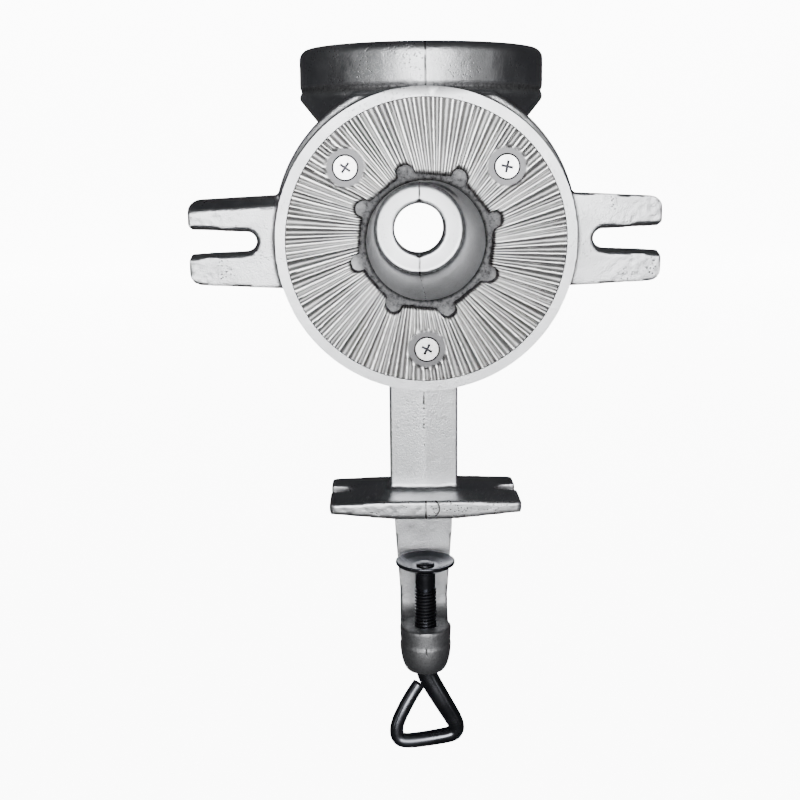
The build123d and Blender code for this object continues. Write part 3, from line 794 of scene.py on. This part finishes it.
# ------------------------------------------------------------------ burr plate
@dataclass
class BurrPlate:
    """The fixed burr plate: a grooved ring with a scalloped opening and three countersunk holes."""

    grooves: int = 96
    rings: int = 46
    opening: float = 26.0 * MM
    lobes: int = 8
    lobe_circle: float = 27.6 * MM
    lobe_radius: float = 3.4 * MM
    lobe_turn: float = math.radians(17.7)
    swirl: float = math.radians(7.0)
    swirl_start: float = 32.0 * MM
    depth: float = 0.95 * MM
    thickness: float = 5.0 * MM
    land: float = 7.9 * MM
    screw_circle: float = 43.0 * MM
    profile: tuple[float, ...] = (0.0, 0.04, 0.52, 0.90, 1.0, 0.93, 0.60, 0.14)

    def spots(self) -> list[tuple[float, float]]:
        """Return the screws' places across the plate, as (right, up) from the shaft."""
        angles = [math.radians(a) for a in (137.5, 42.5, 270.0)]
        return [(self.screw_circle * math.cos(a), self.screw_circle * math.sin(a)) for a in angles]

    def inner_radius(self, angles: np.ndarray) -> np.ndarray:
        """Return the opening's radius at each angle."""
        step = TURN / self.lobes
        off = (angles - self.lobe_turn + step / 2) % step - step / 2
        flat = self.opening / np.cos(step / 2 - np.abs(off))
        side = self.lobe_circle * np.sin(off)
        inside = np.clip(self.lobe_radius**2 - side**2, 0, None)
        lobe = np.where(inside > 0, self.lobe_circle * np.cos(off) + np.sqrt(inside), 0)
        return np.maximum(flat, lobe)

    def build(self, finish: bpy.types.Material) -> bpy.types.Object:
        """Model, drill and dress the plate."""
        plate = self.face()
        self.thicken(plate)
        self.drill(plate)
        self.mark(plate)
        smooth_by_angle(plate, 38)
        plate.data.materials.clear()
        plate.data.materials.append(finish)
        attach(plate, "body")
        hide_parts("fixed_burr_plate")
        log.info("burr plate: %d faces", len(plate.data.polygons))
        return plate

    def face(self) -> bpy.types.Object:
        """Lay a grid round the shaft and press the grooves into it."""
        deselect_all()
        columns = self.grooves * len(self.profile)
        bpy.ops.mesh.primitive_grid_add(
            x_subdivisions=columns, y_subdivisions=self.rings, size=2, location=(0, 0, 0)
        )
        plate = bpy.context.object
        plate.name = "burr_plate"
        grid = coordinates(plate)
        column = np.rint((grid[:, 0] + 1) / 2 * columns).astype(int) % columns
        out = (grid[:, 1] + 1) / 2
        chance = np.random.default_rng(11)
        widths = 1.0 + chance.uniform(-0.28, 0.28, self.grooves)
        edges = np.concatenate([[0.0], np.cumsum(widths)]) / widths.sum() * TURN
        groove = column // len(self.profile)
        part = column % len(self.profile)
        angle = edges[groove] + part / len(self.profile) * (edges[groove + 1] - edges[groove])
        inner = self.inner_radius(angle)
        ragged = np.array([noise.noise(Vector((math.cos(a) * 14, math.sin(a) * 14, 3.0))) for a in angle])
        inner = inner + ragged * 0.5 * MM + 0.2 * MM
        radius = inner + out * (PLATE_RADIUS - inner)
        reach = np.clip(radius - self.swirl_start, -6 * MM, None)
        lean = reach * math.sin(self.swirl)
        angle = angle + np.arctan2(lean, self.swirl_start + reach * math.cos(self.swirl))
        x = radius * np.cos(angle)
        z = radius * np.sin(angle)
        strength = chance.uniform(0.6, 1.0, self.grooves)[groove]
        cut = np.array(self.profile)[part] * self.depth * strength
        cut *= 0.62 + 0.38 * between(radius, 31 * MM, 46 * MM)
        uneven = rugged(np.stack([x, z, 0 * x], axis=1), 3.0 * MM, 2)
        cut = np.clip(cut + np.abs(uneven) * 0.10 * MM, 0, self.depth)
        for right, up in self.spots():
            away = np.hypot(x - right, z - up)
            land = 1 - between(away, self.land - 0.3 * MM, self.land + 0.35 * MM)
            cut = cut * (1 - land) + 0.22 * MM * land
        lip = 1 - between(radius - inner, 0.2 * MM, 1.5 * MM)
        cut = cut + lip * (0.25 * MM + np.abs(uneven) * 0.5 * MM)
        set_coordinates(plate, np.stack([x, PLATE_FACE_Y + cut, SHAFT_Z + z], axis=1))
        bpy.ops.object.mode_set(mode="EDIT")
        bpy.ops.mesh.select_all(action="SELECT")
        bpy.ops.mesh.remove_doubles(threshold=1e-6)
        bpy.ops.object.mode_set(mode="OBJECT")
        return plate

    def thicken(self, plate: bpy.types.Object) -> None:
        """Draw both rims back to the plate's rear face and close it."""
        activate(plate)
        bpy.ops.object.mode_set(mode="EDIT")
        bpy.ops.mesh.select_mode(type="EDGE")
        bpy.ops.mesh.select_all(action="DESELECT")
        bpy.ops.mesh.select_non_manifold(extend=False)
        bpy.ops.mesh.extrude_edges_move(TRANSFORM_OT_translate={"value": (0, self.thickness * 2, 0)})
        bpy.ops.object.mode_set(mode="OBJECT")
        places = coordinates(plate)
        back = places[:, 1] > PLATE_FACE_Y + self.thickness
        places[:, 1] = np.where(back, PLATE_FACE_Y + self.thickness, places[:, 1])
        set_coordinates(plate, places)
        bpy.ops.object.mode_set(mode="EDIT")
        bpy.ops.mesh.bridge_edge_loops()
        bpy.ops.mesh.select_all(action="SELECT")
        bpy.ops.mesh.normals_make_consistent(inside=False)
        bpy.ops.object.mode_set(mode="OBJECT")

    def drill(self, plate: bpy.types.Object) -> None:
        """Cut the three countersunk screw holes."""
        cutters = []
        outline = [(0, -1), (5.2, -1), (5.2, 0.3), (2.75, 2.75), (2.75, 7), (0, 7)]
        for right, up in self.spots():
            centre = Vector((right, PLATE_FACE_Y, SHAFT_Z + up))
            points = [(r * MM, s * MM) for r, s in outline]
            cutters.append(spun("countersink", points, centre, Vector((0, 1, 0)), 40))
        join_pieces(cutters[0], cutters[1:])
        cut(plate, cutters[0])

    def mark(self, plate: bpy.types.Object) -> None:
        """Write the masks of the smooth lands round the screws and of the broken inner lip."""
        at = coordinates(plate)
        x, z = at[:, 0], at[:, 2] - SHAFT_Z
        radial = np.hypot(x, z)
        land = np.zeros(len(at))
        for right, up in self.spots():
            away = np.hypot(x - right, z - up)
            land = np.maximum(land, 1 - between(away, self.land - 0.4 * MM, self.land + 0.1 * MM))
        edge = self.inner_radius(np.arctan2(z, x)) + 0.2 * MM
        lip = 1 - between(radial - edge, 0.5 * MM, 1.3 * MM)
        for name, values in (("land", land), ("lip", lip)):
            layer = plate.data.attributes.new(name, "FLOAT", "POINT")
            layer.data.foreach_set("value", values.astype(np.float32))


# ------------------------------------------------------------------ plate screws and nuts
class Overlap(Enum):
    """What becomes of the space that two solids share."""

    REMOVED = "DIFFERENCE"
    KEPT = "INTERSECT"


def cut(target: bpy.types.Object, cutter: bpy.types.Object, overlap: Overlap = Overlap.REMOVED) -> None:
    """Cut one solid with another, which is then removed.

    Args:
        target: The solid that stays.
        cutter: The solid that is taken away, or kept in common.
        overlap: Whether the shared space is removed or is all that is kept.
    """
    modifier = target.modifiers.new("cut", "BOOLEAN")
    modifier.operation = overlap.value
    modifier.solver = "EXACT"
    modifier.object = cutter
    apply_modifiers(target)
    deselect_all()
    cutter.select_set(True)
    bpy.ops.object.delete()


def thread(name: str, radius: float, root: float, pitch: float, low: float, high: float) -> bpy.types.Object:
    """Wind a right-hand thread round the Z axis, with flat ends.

    Args:
        name: The new object's name.
        radius: The crest's radius.
        root: The root's radius.
        pitch: The rise of one turn.
        low: The lower end.
        high: The upper end.

    Returns:
        The closed threaded rod.
    """
    start = low - 1.5 * pitch
    profile = [(root, 0.0), (root, 0.12), (radius, 0.44), (radius, 0.56), (root, 0.88), (root, 1.0)]
    rod = path_object(name, [Vector((r, 0, start + s * pitch)) for r, s in profile])
    bpy.ops.object.mode_set(mode="OBJECT")
    wind = rod.modifiers.new("wind", "SCREW")
    wind.axis = "Z"
    wind.angle = TURN
    wind.screw_offset = pitch
    wind.iterations = int((high - start) / pitch) + 2
    wind.steps = 32
    wind.render_steps = 32
    wind.use_merge_vertices = True
    wind.merge_threshold = 1e-6
    apply_modifiers(rod)
    bpy.ops.object.mode_set(mode="EDIT")
    for place, normal in ((low, (0, 0, -1)), (high, (0, 0, 1))):
        bpy.ops.mesh.select_all(action="SELECT")
        bpy.ops.mesh.bisect(plane_co=(0, 0, place), plane_no=normal, use_fill=True, clear_outer=True)
    bpy.ops.mesh.select_all(action="SELECT")
    bpy.ops.mesh.remove_doubles(threshold=1e-7)
    bpy.ops.mesh.normals_make_consistent(inside=False)
    bpy.ops.object.mode_set(mode="OBJECT")
    return rod


@dataclass
class PlateFasteners:
    """Three countersunk cross-recess screws and the nuts behind the flange."""

    head: float = 4.8 * MM
    shank: float = 2.5 * MM
    length: float = 17.5 * MM
    nut_seat: float = -17.9 * MM
    nut_flats: float = 8.0 * MM
    nut_height: float = 4.0 * MM
    turns: tuple[float, ...] = (35.0, 12.0, 28.0)
    places: tuple[str, ...] = ("upper_left", "upper_right", "lower")

    def build(self, finish: bpy.types.Material) -> None:
        """Model one screw and one nut, and copy them to their places."""
        screw = self.screw()
        nut = self.nut()
        for place, turn, (right, up) in zip(self.places, self.turns, BurrPlate().spots()):
            centre = Vector((right, PLATE_FACE_Y, SHAFT_Z + up))
            self.put(screw, f"plate_screw_{place}", f"head_{place}", centre, turn, finish)
            seat = Vector((right, self.nut_seat, SHAFT_Z + up))
            self.put(nut, f"plate_nut_{place}", f"nut_{place}", seat, turn, finish)
        deselect_all()
        screw.select_set(True)
        nut.select_set(True)
        bpy.ops.object.delete()
        log.info("plate fasteners: %d screws and nuts", len(self.places))

    def put(
        self,
        source: bpy.types.Object,
        node: str,
        name: str,
        centre: Vector,
        turn: float,
        finish: bpy.types.Material,
    ) -> None:
        """Copy a fastener, made along +Z from the origin, to point along +Y from a place."""
        twin = bpy.data.objects.new(name, source.data.copy())
        bpy.context.scene.collection.objects.link(twin)
        along = Matrix.Rotation(math.radians(-90), 4, "X")
        twin.data.transform(Matrix.Translation(centre) @ along @ Matrix.Rotation(math.radians(turn), 4, "Z"))
        smooth_by_angle(twin, 22)
        twin.data.materials.clear()
        twin.data.materials.append(finish)
        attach(twin, "body")
        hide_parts(node)

    def screw(self) -> bpy.types.Object:
        """Model a screw with its head at the origin and its shank along +Z."""
        outline = [(0, 0), (self.head - 0.25 * MM, 0), (self.head, 0.15 * MM), (self.head, 0.4 * MM)]
        outline += [(self.shank, 2.6 * MM), (self.shank, 11.5 * MM), (0, 11.5 * MM)]
        body = spun("screw", outline, Vector((0, 0, 0)), Vector((0, 0, 1)), 48)
        for quarter in (0, 90):
            deselect_all()
            bpy.ops.mesh.primitive_cube_add(size=1, location=(0, 0, 0.4 * MM))
            blade = bpy.context.object
            blade.scale = (5.3 * MM, 1.1 * MM, 3.4 * MM)
            blade.rotation_euler = (0, 0, math.radians(quarter))
            bake_place(blade)
            self.taper(blade)
            cut(body, blade)
        tail = thread("tail", self.shank, self.shank - 0.42 * MM, 0.8 * MM, 11.4 * MM, self.length)
        join_pieces(body, [tail])
        # Painted shade: the inside of the cross recess is marked to be darkened.
        at = coordinates(body)
        sunk = (at[:, 2] > 0.6 * MM) & (at[:, 2] < 2.5 * MM) & (np.hypot(at[:, 0], at[:, 1]) < self.shank)
        body.data.attributes.new("grime_and_shade", "FLOAT", "POINT").data.foreach_set("value", sunk.astype(np.float32))
        return body

    def taper(self, blade: bpy.types.Object) -> None:
        """Draw the deep end of a recess blade in."""
        places = coordinates(blade)
        deep = places[:, 2] > 0.5 * MM
        places[:, :2] *= np.where(deep, 0.7, 1.0)[:, None]
        set_coordinates(blade, places)

    def nut(self) -> bpy.types.Object:
        """Model a chamfered hexagon nut with its seat at the origin and its height along +Z."""
        corner = self.nut_flats / 2 / math.cos(math.radians(30))
        deselect_all()
        middle = (0, 0, self.nut_height / 2)
        bpy.ops.mesh.primitive_cylinder_add(vertices=6, radius=corner, depth=self.nut_height, location=middle)
        nut = bpy.context.object
        bake_place(nut)
        half = self.nut_flats / 2
        lens = [(0, 0), (half, 0), (corner, 0.45 * MM), (corner * 1.02, 0.5 * MM)]
        lens += [(corner * 1.02, self.nut_height - 0.5 * MM), (corner, self.nut_height - 0.45 * MM)]
        lens += [(half, self.nut_height), (0, self.nut_height)]
        cut(nut, spun("chamfer", lens, Vector((0, 0, 0)), Vector((0, 0, 1)), 48), Overlap.KEPT)
        hole = [(0, -1 * MM), (3.1 * MM, -1 * MM), (3.1 * MM, 0), (2.55 * MM, 0.55 * MM)]
        hole += [(2.55 * MM, self.nut_height - 0.55 * MM), (3.1 * MM, self.nut_height)]
        hole += [(3.1 * MM, 5 * MM), (0, 5 * MM)]
        cut(nut, spun("bore", hole, Vector((0, 0, 0)), Vector((0, 0, 1)), 48))
        return nut


# ------------------------------------------------------------------ table clamp
@dataclass
class TableClamp:
    """The clamp screw, bent into an eye, and the dished pad that swivels on its peened tip."""

    crest: float = 4.88 * MM
    root: float = 4.15 * MM
    pitch: float = 1.5 * MM
    thread_top: float = -35.0 * MM
    thread_end: float = -73.0 * MM
    eye: tuple[tuple[float, float, float, float], ...] = (
        (0.0, 0.0, -72.6, 4.6), (0.2, 0.0, -75.0, 4.5), (1.9, -0.2, -79.0, 4.4),
        (5.4, -0.4, -85.2, 4.3), (9.2, -0.3, -92.0, 4.1), (12.4, 0.0, -97.6, 3.9),
        (14.0, 0.1, -101.4, 3.7), (13.6, 0.2, -104.4, 3.6), (11.4, 0.2, -105.8, 3.55),
        (7.0, 0.1, -106.7, 3.5), (-3.0, 0.0, -108.2, 3.4), (-9.4, 0.0, -108.7, 3.3),
        (-12.6, 0.1, -107.6, 3.2), (-13.6, 0.2, -104.0, 3.15), (-12.9, 0.6, -99.6, 3.1),
        (-9.4, 1.6, -92.4, 3.1), (-5.4, 3.0, -85.8, 3.0), (-3.0, 3.4, -82.4, 2.9),
    )

    def build(self, finish: bpy.types.Material) -> None:
        """Model both pieces and dress them."""
        for piece, node, body in ((self.pad(), "clamp_pad", "pad"), (self.screw(), "clamp_screw", "screw")):
            smooth_by_angle(piece, 42)
            piece.data.materials.clear()
            piece.data.materials.append(finish)
            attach(piece, body)
            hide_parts(node)
            log.info("%s: %d faces", piece.name, len(piece.data.polygons))

    def pad(self) -> bpy.types.Object:
        """Spin the dished pad."""
        corners = [
            (3.35, -24.4, 0), (6.2, -24.45, 1.4), (9.6, -23.5, 2.5), (12.5, -22.0, 0.35), (13.1, -22.15, 0.3),
            (13.1, -23.3, 0.5), (12.4, -23.8, 0.6), (9.8, -25.3, 2.0), (6.2, -26.2, 1.4),
            (3.35, -26.2, 0), (3.35, -24.4, 0),
        ]
        outline = [(r * MM, s * MM) for r, s in rounded(corners, 4)]
        return spun("clamp_pad_dish", outline, Vector((0, 0, 0)), Vector((0, 0, 1)), 72)

    def screw(self) -> bpy.types.Object:
        """Model the screw: peened tip, plain neck, thread and bent eye."""
        corners = [
            (0, -22.75, 0), (1.6, -22.85, 1.5), (3.4, -23.4, 1.6), (4.6, -24.25, 0.3),
            (3.2, -24.25, 0.1), (3.2, -26.35, 0.1), (4.9, -26.35, 0.15), (4.9, -27.6, 0.3),
            (4.45, -28.2, 0.3), (4.45, -34.4, 0.3), (4.1, -34.9, 0), (0, -34.9, 0),
        ]
        outline = [(r * MM, s * MM) for r, s in rounded(corners, 4)]
        neck = spun("clamp_screw_eye", outline, Vector((0, 0, 0)), Vector((0, 0, 1)), 64)
        wound = thread("clamp_thread", self.crest, self.root, self.pitch, self.thread_end, self.thread_top)
        join_pieces(neck, [wound, self.bent_eye()])
        return neck

    def bent_eye(self) -> bpy.types.Object:
        """Bend the screw's rod into a triangular eye that narrows to its free end."""
        eye = path_object("eye", [Vector((x, y, z)) * MM for x, y, z, _ in self.eye])
        bpy.ops.object.mode_set(mode="OBJECT")
        activate(eye)
        bpy.ops.object.convert(target="CURVE")
        curve = bpy.context.object.data
        curve.dimensions = "3D"
        spline = curve.splines[0]
        points = list(spline.points)
        if points[0].co.z < points[-1].co.z:
            points.reverse()
        for point, (_, _, _, radius) in zip(points, self.eye):
            point.radius = radius
        spline.type = "NURBS"
        spline.order_u = 3
        spline.use_endpoint_u = True
        spline.resolution_u = 5
        curve.bevel_depth = MM
        curve.bevel_resolution = 7
        curve.use_fill_caps = True
        bpy.ops.object.convert(target="MESH")
        rod = bpy.context.object
        bpy.ops.object.mode_set(mode="EDIT")
        bpy.ops.mesh.select_all(action="SELECT")
        bpy.ops.mesh.remove_doubles(threshold=1e-7)
        bpy.ops.mesh.normals_make_consistent(inside=False)
        bpy.ops.object.mode_set(mode="OBJECT")
        return rod


# ------------------------------------------------------------------ studio
@dataclass
class Studio:
    """Pale sweep, soft lights and the camera."""

    camera_place: Vector = field(default_factory=lambda: Vector((-0.0190, -0.5088, 0.1545)))
    yaw: float = 0.95
    pitch: float = 11.57
    roll: float = -0.50
    lens: float = 54.27
    floor_gap: float = 0.16
    sweep_reach: float = 6.0

    def build(self) -> None:
        """Build the sweep, the lights and the camera."""
        self.build_sweep()
        self.build_lights()
        self.build_camera()
        self.build_world()

    def build_sweep(self) -> None:
        """Model the floor that curves up into the backdrop."""
        low = CAD_BOX[0][2] - self.floor_gap
        reach = self.sweep_reach
        outline = rounded([(-reach, 0, 0), (reach, 0, 2.0), (reach, reach, 0)], steps=16)
        points = [Vector((-reach, y, low + z)) for y, z in outline]
        sweep = path_object("sweep", points)
        bpy.ops.mesh.extrude_edges_move(TRANSFORM_OT_translate={"value": (2 * reach, 0, 0)})
        bpy.ops.object.mode_set(mode="OBJECT")
        smooth_by_angle(sweep, 60)
        material = bpy.data.materials.new("pale_sweep")
        material.use_nodes = True
        shader = material.node_tree.nodes["Principled BSDF"]
        shader.inputs["Base Color"].default_value = (0.93, 0.93, 0.925, 1)
        shader.inputs["Roughness"].default_value = 0.9
        shader.inputs["Emission Color"].default_value = (1, 1, 1, 1)
        shader.inputs["Emission Strength"].default_value = 9.0
        sweep.data.materials.append(material)
        sweep.visible_glossy = False

    def area(self, name: str, place: tuple, target: tuple, size: tuple, power: float) -> None:
        """Add a rectangular soft light that faces a point.

        Args:
            name: The light's name.
            place: Where it stands.
            target: The point it faces.
            size: Its width and height.
            power: Its power in watts.
        """
        data = bpy.data.lights.new(name, "AREA")
        data.shape = "RECTANGLE"
        data.size, data.size_y = size
        data.energy = power
        lamp = bpy.data.objects.new(name, data)
        bpy.context.scene.collection.objects.link(lamp)
        lamp.location = place
        aim = Vector(target) - Vector(place)
        lamp.rotation_euler = aim.to_track_quat("-Z", "Y").to_euler()

    def build_lights(self) -> None:
        """Place the frontal soft box and the weak side fills."""
        self.area("front_box", (-0.02, -1.6, 0.24), (0, 0, 0.12), (1.25, 0.66), 24)
        self.area("left_strip", (-1.3, -0.9, 0.3), (0, 0, 0.08), (0.25, 1.0), 0.8)
        self.area("right_strip", (1.3, -0.9, 0.3), (0, 0, 0.08), (0.25, 1.0), 0.8)

    def build_camera(self) -> None:
        """Place the camera a forearm's length in front of the burr plate."""
        data = bpy.data.cameras.new("camera")
        data.lens = self.lens
        data.sensor_width = 36
        data.clip_start = 0.01
        camera = bpy.data.objects.new("camera", data)
        bpy.context.scene.collection.objects.link(camera)
        turn = (
            Matrix.Rotation(math.radians(-self.yaw), 4, "Z")
            @ Matrix.Rotation(math.radians(90 - self.pitch), 4, "X")
            @ Matrix.Rotation(math.radians(self.roll), 4, "Z")
        )
        camera.matrix_world = Matrix.Translation(self.camera_place) @ turn
        bpy.context.scene.camera = camera

    def build_world(self) -> None:
        """Give the room a pale look to the eye and a dim one to polished metal."""
        world = bpy.data.worlds.new("room")
        bpy.context.scene.world = world
        world.use_nodes = True
        tree = world.node_tree
        tree.nodes.clear()
        g = Graph(tree)
        path = g.node("LightPath").outputs["Is Camera Ray"]
        dim = g.node("Background", {"Color": (0.9, 0.93, 1.0, 1), "Strength": 0.03})
        pale = g.node("Background", {"Color": (1, 1, 1, 1), "Strength": 3.0})
        both = g.node("MixShader", {0: path, 1: dim.outputs[0], 2: pale.outputs[0]})
        out = g.node("OutputWorld")
        tree.links.new(both.outputs[0], out.inputs["Surface"])


def main() -> None:
    """Build the pieces in order and report each one."""
    Casting().build(TinnedCasting("tinned_casting", (0.80, 0.81, 0.83, 1), 0.36).material())
    BurrPlate().build(BurrIron("burr_iron", (0.93, 0.93, 0.92, 1), 0.34).material())
    PlateFasteners().build(PlainMetal("zinc_plating", (0.90, 0.90, 0.89, 1), 0.26).material())
    TableClamp().build(PlainMetal("oiled_steel", (0.16, 0.165, 0.185, 1), 0.27).material())
    Studio().build()


if __name__ == "__main__":
    main()
